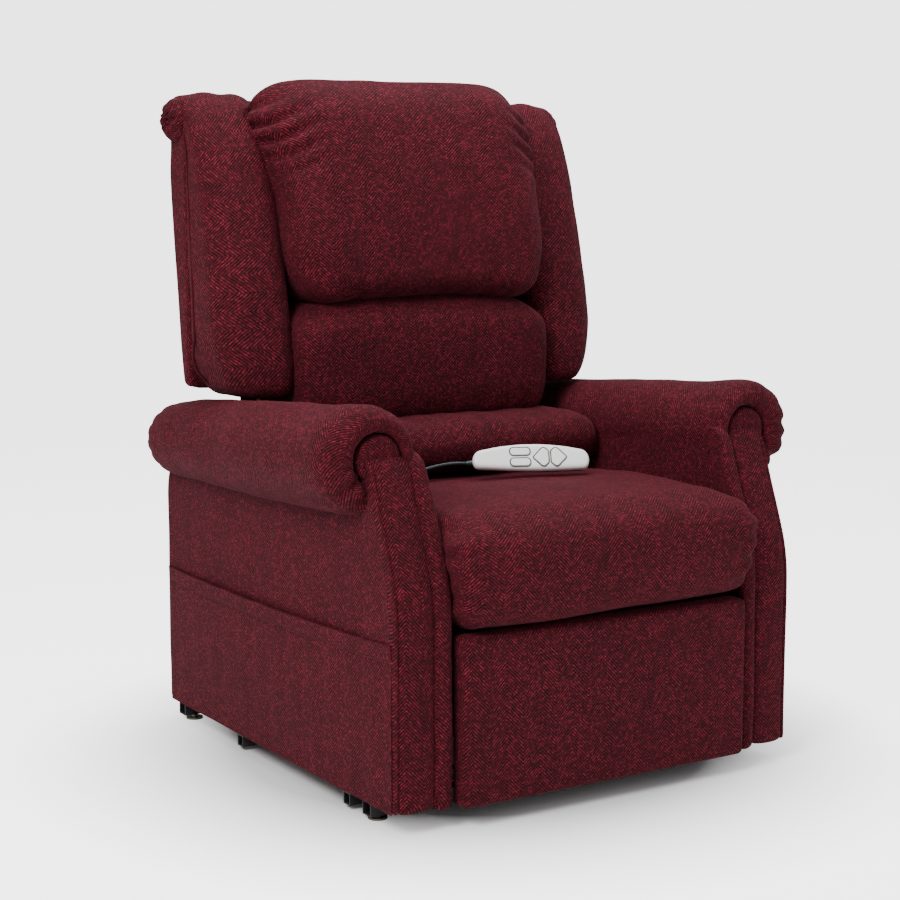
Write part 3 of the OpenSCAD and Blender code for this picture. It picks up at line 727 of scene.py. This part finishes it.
def lumbar_roll():
    loop = resample(round_loop([
        (0.430, 0.460, 0.04), (0.390, 0.478, 0.04), (0.381, 0.510, 0.04), (0.398, 0.542, 0.04),
        (0.440, 0.552, 0.04), (0.670, 0.550, 0.02), (0.670, 0.462, 0.02)]), 140)
    obj = loft("lumbar_roll_cloth", pillow_rings(loop, 0.278, 0.030, 0.001, 60), 4)

    def soften(co, normal):
        lumps = 0.0030 * uneven(co, 0.12, 17) + 0.0012 * uneven(co, 0.045, 18)
        fold = 0.0018 * sin(co.x * 95 + 1.5 * sin(co.x * 23)) * bell(co.z, 0.545, 0.012)
        return normal * (lumps + fold)
    return reshape(obj, soften)


WING_PATH = [
    # (depth and height of the middle of its thickness, half thickness)
    (0.602, 0.593, 0.078), (0.603, 0.640, 0.078), (0.608, 0.700, 0.074), (0.616, 0.780, 0.068),
    (0.628, 0.860, 0.058), (0.640, 0.930, 0.046), (0.652, 0.990, 0.035), (0.665, 1.030, 0.028),
    (0.683, 1.062, 0.024), (0.706, 1.082, 0.021), (0.730, 1.084, 0.018), (0.748, 1.070, 0.014),
    (0.755, 1.050, 0.010)]


def wing(name):
    """Bolster beside the back: full below, thinner above, where it rolls over the top rear."""
    points = []
    for i in range(len(WING_PATH) - 1):
        a, b, c, d = (Vector(WING_PATH[min(max(i + k, 0), len(WING_PATH) - 1)]) for k in (-1, 0, 1, 2))
        for k in range(6):
            t = k / 6
            points.append(0.5 * (2 * b + (c - a) * t + (2 * a - 5 * b + 4 * c - d) * t * t
                                 + (3 * b - a - 3 * c + d) * t ** 3))
    points.append(Vector(WING_PATH[-1]))
    rings = []
    last = len(points) - 1
    for i, (y, z, half) in enumerate(points):
        before, after = points[max(i - 1, 0)], points[min(i + 1, last)]
        along = Vector((after[0] - before[0], after[1] - before[1])).normalized()
        ahead = Vector((-along.y, along.x))
        end = max(1 - i / 4, 0.0)
        squeeze = 0.022 * (1 - sqrt(max(1 - end * end, 0)))
        foot = 0.034 * max(1 - i / 14, 0.0) ** 2
        outer = 0.3815
        round_front = min(half * 1.1, 0.055)
        edge = round_loop([
            (0.2440, half * 0.66, 0.022), (0.272, half, 0.03), (0.345, half * 0.98, 0.05),
            (outer, half * 0.55, round_front), (outer, -half * 0.55, 0.012), (outer - 0.004, -half, 0.008),
            (0.2440, -half, 0.010)])
        loop = inset_loop(resample(edge, 110), squeeze)
        rings.append([to_frame(p.x - foot * ramp(p.x, 0.30, 0.38), y + ahead.x * p.y, z + ahead.y * p.y)
                      for p in loop])
    obj = loft(name, rings, 4)

    def soften(co, normal):
        lumps = 0.0036 * uneven(co, 0.14, 21) + 0.0014 * uneven(co, 0.05, 22)
        top = 0.0010 * ramp(co.z, 1.03, 1.07) * sin(co.x * 120 + co.z * 40)
        return normal * (lumps + top)
    return reshape(obj, soften)


def wing_welt(name):
    """Thin welt along the wing's outer rear seam."""
    points = [to_frame(0.3805, y + 0.62 * half, z) for y, z, half in WING_PATH[:8]]
    points[0] = to_frame(0.352, 0.640, 0.606)
    return tube(name, points, 0.0026, 3)


def scroll():
    """Rolled-over cloth along the top rear, its ends gathered in a spiral."""
    radius = 0.0375
    centre = Vector((0.719, 1.055))
    rings = []
    for i in range(71):
        t = -cos(pi * i / 70)
        x = 0.398 * t
        end = max(abs(x) - 0.380, 0) / 0.018
        r = radius * sqrt(max(1 - 0.75 * end * end, 0.02))
        rings.append([to_frame(x, centre.x + cos(2 * pi * k / 80) * r, centre.y + sin(2 * pi * k / 80) * r)
                      for k in range(80)])
    obj = loft("top_scroll_cloth", rings, 7)

    def gather(co, normal):
        y = co.y + FRONT - centre.x
        z = co.z - centre.y
        angle = atan2(z, y)
        out = sqrt(y * y + z * z)
        near_end = ramp(abs(co.x), 0.378, 0.394)
        spiral = sin(angle * 5 + out * 330)
        end_fold = Vector((copysign(0.0030, co.x) * spiral * ramp(abs(co.x), 0.386, 0.391), 0, 0))
        fold = -0.0030 * near_end * max(sin(angle * 9 + co.x * 50), 0)
        lumps = 0.0022 * uneven(co, 0.09, 25)
        return normal * (fold + lumps) + end_fold
    return reshape(obj, gather)


def back_depth(z):
    """Depth of the back's rear surface at a height."""
    marks = [(0.60, 0.708), (0.68, 0.723), (0.82, 0.740), (0.93, 0.752), (0.97, 0.754), (1.01, 0.749)]
    for (z0, y0), (z1, y1) in zip(marks, marks[1:]):
        if z <= z1:
            return y0 + (y1 - y0) * max(z - z0, 0) / (z1 - z0)
    return marks[-1][1]


def outside_back():
    rings = []
    for i in range(41):
        z = 0.600 + (1.045 - 0.600) * i / 40
        half = BACK_HALF - 0.001
        rear = back_depth(z)
        loop = resample(round_loop([
            (half, 0.681, 0.004), (half, rear - 0.002, 0.010), (0, rear, 0.2), (-half, rear - 0.002, 0.010),
            (-half, 0.681, 0.004), (0, 0.684, 0.1)]), 200)
        end = max(0.0, abs(i / 40 - 0.5) * 2 - 0.95) / 0.05
        rounding = 0.006 * (1 - sqrt(max(1 - end * end, 0)))
        rings.append([to_frame(p.x, p.y, z) for p in inset_loop(loop, rounding)])
    obj = loft("outside_back_cloth", rings, 3)

    def soften(co, normal):
        return normal * 0.0012 * uneven(co, 0.13, 28)
    return reshape(obj, soften)


def flat_panel(name, y_mid, half, z0, z1, thick, seed):
    """Upright cloth panel between the arms, facing the rear."""
    loop = resample(round_loop([
        (y_mid - thick, z0, 0.002), (y_mid + thick, z0, 0.002), (y_mid + thick, z1, 0.002),
        (y_mid - thick, z1, 0.002)]), 120)
    obj = loft(name, pillow_rings(loop, half, 0.004, 0.0, 40), 2)

    def soften(co, normal):
        return Vector((0, 0.0011 * uneven(co, 0.12, seed) * abs(normal.y), 0))
    return reshape(obj, soften)


def build_soft_parts():
    for obj, body, node, fill in (
            (seat_cushion(), "chair", "seat_cushion", 0.85),
            (footrest_pad(), "footrest", "footrest_pad", 0.8),
            (top_pillow(), "back", "top_pillow", 0.75), (middle_pillow(), "back", "middle_pillow", 0.75),
            (lumbar_roll(), "back", "lumbar_roll", 0.8), (scroll(), "back", "top_scroll", 0.8)):
        cloth_piece(smooth(obj), body, [node])
    right = wing("right_wing_cloth")
    left = mirrored(right, "left_wing_cloth")
    for side, label in ((RIGHT, "right"), (LEFT, "left")):
        welt = wing_welt(f"{label}_wing_welt")
        if side == LEFT:
            for point in welt.data.splines[0].bezier_points:
                point.co.x = -point.co.x
        paint(welt, BURGUNDY)
        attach(welt, "back")
    for obj, node in ((right, "right_wing"), (left, "left_wing")):
        cloth_piece(smooth(obj), "back", [node])
    outer = outside_back()
    flap = flat_panel("outside_back_flap", 0.7075, 0.271, 0.433, 0.618, 0.003, 31)
    for obj in (outer, flap):
        paint(smooth(obj), BURGUNDY)
        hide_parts("outside_back")
        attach(obj, "back")
    skirt = flat_panel("rear_skirt_cloth", 0.796, 0.2795, 0.025, 0.380, 0.003, 33)
    paint(smooth(skirt), BURGUNDY)
    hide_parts("rear_skirt")
    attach(skirt, "chair")


# ---------------------------------------------------------------- handset and cord

HAND_L, HAND_H, HAND_T = 0.200, 0.050, 0.026
HAND_PLACE = (Matrix.Translation(to_frame(0.067, 0.303, 0.489)) @ Matrix.Rotation(radians(-26), 4, "Z")
              @ Matrix.Rotation(radians(-30), 4, "X"))


def hand_outline():
    half = HAND_L / 2
    top = [(half * 0.93 * t, HAND_H * (0.56 - 0.24 * t * t), 0.012) for t in (1, 0.6, 0.2, -0.2, -0.6, -1)]
    bottom = [(-half, 0.0, 0.012), (-half * 0.95, -HAND_H * 0.30, 0.009), (0, -HAND_H * 0.42, 0.06),
              (half * 0.95, -HAND_H * 0.36, 0.009), (half, 0.0, 0.012)]
    return resample(round_loop(top + bottom), 160)


def plate_rings(loop, levels):
    """Rings in the handset's own frame from (outward place, inset) pairs."""
    return [[Vector((p.x, -out, p.y)) for p in inset_loop(loop, inset)] for out, inset in levels]


def key_outline(kind):
    if kind < 2:
        middle = 0.012 if kind == 0 else -0.007
        rows = [(-0.0165, 0.0065, 0.0065), (-0.0165, -0.0065, 0.0065), (0.0165, -0.0065, 0.0065),
                (0.0165, 0.0065, 0.0065)]
        return resample(round_loop([(u - 0.019, v + middle, r) for u, v, r in rows]), 64)
    turn = -1 if kind == 2 else 1
    rows = [(0.0025, -0.009, 0.002), (0.0025, 0.011, 0.002), (0.009, 0.017, 0.002), (0.013, 0.016, 0.003),
            (0.028, 0.0, 0.003), (0.013, -0.015, 0.003), (0.009, -0.015, 0.002)]
    return resample(round_loop([(0.031 + turn * u, v + 0.001, r) for u, v, r in rows]), 64)


def hand_piece(obj, material, nodes, body):
    obj.matrix_world = HAND_PLACE
    paint(obj, material)
    if nodes:
        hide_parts(*nodes)
    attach(obj, body)
    return obj


def build_handset():
    face = HAND_T / 2
    loop = hand_outline()
    front = loft("handset_front_shell", plate_rings(loop, [
        (0.0010, 0.0030), (0.0010, 0.0005), (0.0018, 0.0), (0.0070, 0.0004), (0.0100, 0.0014),
        (0.0118, 0.0034), (0.0127, 0.0062), (0.0129, 0.0100)]), 8)
    hand_piece(smooth(front), WHITE, ["handset_front"], "chair")
    rear = loft("handset_rear_shell", plate_rings(loop, [
        (0.0008, 0.0016), (-0.0060, 0.0018), (-0.0100, 0.0035), (-0.0124, 0.0070), (-0.0130, 0.0110)]), 6)
    hand_piece(smooth(rear), GREY, ["handset_rear"], "chair")
    for kind, key in enumerate(("up", "down", "left", "right")):
        outline = key_outline(kind)
        rim = loft(f"key_{key}_rim", plate_rings(outline, [
            (face - 0.0012, -0.0019), (face + 0.0003, -0.0019), (face + 0.0004, -0.0015),
            (face + 0.0004, 0.0), (face - 0.0012, 0.0)]), 1)
        hand_piece(rim, OUTLINE, [], "chair")
        cap = loft(f"key_{key}_cap", plate_rings(outline, [
            (face - 0.0030, 0.0002), (face + 0.0006, 0.0002), (face + 0.0010, 0.0007),
            (face + 0.0011, 0.0016)]), 4)
        hand_piece(cap, WHITE, [f"key_{key}"], f"{key}_key")


CORD_D = 0.0055
CORD_ROUTE = [
    (-252, 360, 300), (-253.5, 360, 312), (-260, 360, 324), (-270, 360, 337), (-276, 360, 352),
    (-277.5, 360, 375), (-277.5, 360, 410), (-277.5, 360, 444), (-277.3, 360, 452), (-275.5, 360, 459.8),
    (-269, 360, 464.2), (-260, 360.5, 464.6), (-250, 361, 463.3), (-228, 363, 461.3), (-195, 368, 460.5),
    (-155, 372, 464.5), (-118, 372.5, 474), (-88, 370.5, 481), (-64, 366.5, 484.8), (-46, 361.5, 486.3),
    (-28.7, 355.5, 486)]


def build_cord():
    points = [to_frame(x / 1000, y / 1000, z / 1000) for x, y, z in CORD_ROUTE]
    cable = tube("handset_cable", points, CORD_D / 2)
    paint(cable, CORD)
    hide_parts("handset_cord")
    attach(cable, "chair")
    boot_rings = []
    for x, radius in ((0.084, 0.0045), (0.096, 0.0048), (0.0985, 0.0050), (0.1015, 0.0042), (0.104, 0.0045),
                      (0.1065, 0.0037), (0.109, 0.0030)):
        boot_rings.append([Vector((-x, 0.006 + cos(2 * pi * k / 24) * radius,
                                   sin(2 * pi * k / 24) * radius))
                           for k in range(24)])
    boot = loft("handset_boot", boot_rings, 1)
    hand_piece(smooth(boot), CORD, [], "chair")


# ---------------------------------------------------------------- stage

# Lights: name, place, size, power
LIGHTS = (("key", (-3.0, -1.6, 3.0), 1.5, 150), ("fill", (2.6, -3.0, 1.8), 2.2, 26),
          ("top", (0.0, 0.2, 3.4), 1.8, 95))
FLOOR_GLOW = 2.6      # the floor looks white to the camera, except close round the chair
CAMERA_GLOW = 3.2
SURROUND = 0.55


def build_floor():
    """Pale floor that curves up behind the chair; it glows white to the camera, and the glow fades out
    round the chair into a painted soft shadow.
    """
    profile = [(-9.0, 0.0), (4.5, 0.0)]
    profile += [(4.5 + 3 * sin(radians(a)), 3 - 3 * cos(radians(a))) for a in range(10, 91, 10)]
    profile.append((7.5, 9.0))
    ahead, aside = Vector((0.534, 0.845, 0)), Vector((0.845, -0.534, 0))
    verts = [ahead * d + Vector((0, 0, h)) + aside * w for d, h in profile for w in (-14, 14)]
    floor = make_mesh("studio_floor", verts, [(2 * i, 2 * i + 1, 2 * i + 3, 2 * i + 2)
                                              for i in range(len(profile) - 1)])
    s = Shader("studio_floor")
    s.set(Base_Color=(0.93, 0.93, 0.93, 1), Roughness=0.95, Emission_Color=(1, 1, 1, 1))
    seen = s.node("ShaderNodeLightPath").outputs["Is Camera Ray"]
    away = s.node("ShaderNodeVectorMath", operation="LENGTH")
    s.link(s.place, away.inputs[0])
    # painted shadow: the camera-only glow is off within 0.40 m of the middle and full beyond 0.78 m, so a
    # soft darker patch lies under the chair
    clear = s.ramp(away.outputs["Value"], [(0.40, (0, 0, 0)), (0.78, (1, 1, 1))])
    s.link(s.math("MULTIPLY", s.math("MULTIPLY", seen, FLOOR_GLOW), clear),
           s.surface.inputs["Emission Strength"])
    floor.data.materials.append(s.material)


def build_surround():
    """White surround: soft light for the chair, brighter where the camera sees it."""
    world = bpy.data.worlds.new("studio")
    world.use_nodes = True
    tree = world.node_tree
    shade = tree.nodes["Background"]
    shade.inputs[1].default_value = SURROUND
    seen = tree.nodes.new("ShaderNodeBackground")
    seen.inputs[0].default_value = (1, 1, 1, 1)
    seen.inputs[1].default_value = CAMERA_GLOW
    shade.inputs[0].default_value = (1, 1, 1, 1)
    ray = tree.nodes.new("ShaderNodeLightPath")
    mix = tree.nodes.new("ShaderNodeMixShader")
    tree.links.new(ray.outputs["Is Camera Ray"], mix.inputs[0])
    tree.links.new(shade.outputs[0], mix.inputs[1])
    tree.links.new(seen.outputs[0], mix.inputs[2])
    tree.links.new(mix.outputs[0], tree.nodes["World Output"].inputs[0])
    bpy.context.scene.world = world


def build_lights():
    for name, place, size, power in LIGHTS:
        data = bpy.data.lights.new(name, "AREA")
        data.size = size
        data.energy = power
        light = bpy.data.objects.new(name, data)
        light.location = place
        light.rotation_euler = (Vector((0, 0, 0.55)) - Vector(place)).to_track_quat("-Z", "Y").to_euler()
        bpy.context.scene.collection.objects.link(light)


def build_camera():
    data = bpy.data.cameras.new("camera")
    data.lens = 74.52
    data.sensor_width = 36
    camera = bpy.data.objects.new("camera", data)
    camera.location = to_frame(-1.6960, -2.2330, 0.9096)
    forward = Vector((0.52998, 0.83810, -0.12924))
    camera.rotation_euler = forward.to_track_quat("-Z", "Y").to_euler()
    bpy.context.scene.collection.objects.link(camera)
    bpy.context.scene.camera = camera


build_camera()
build_cord()
finish_cad_nodes()
build_arms()
build_soft_parts()
build_handset()
build_floor()
build_surround()
build_lights()
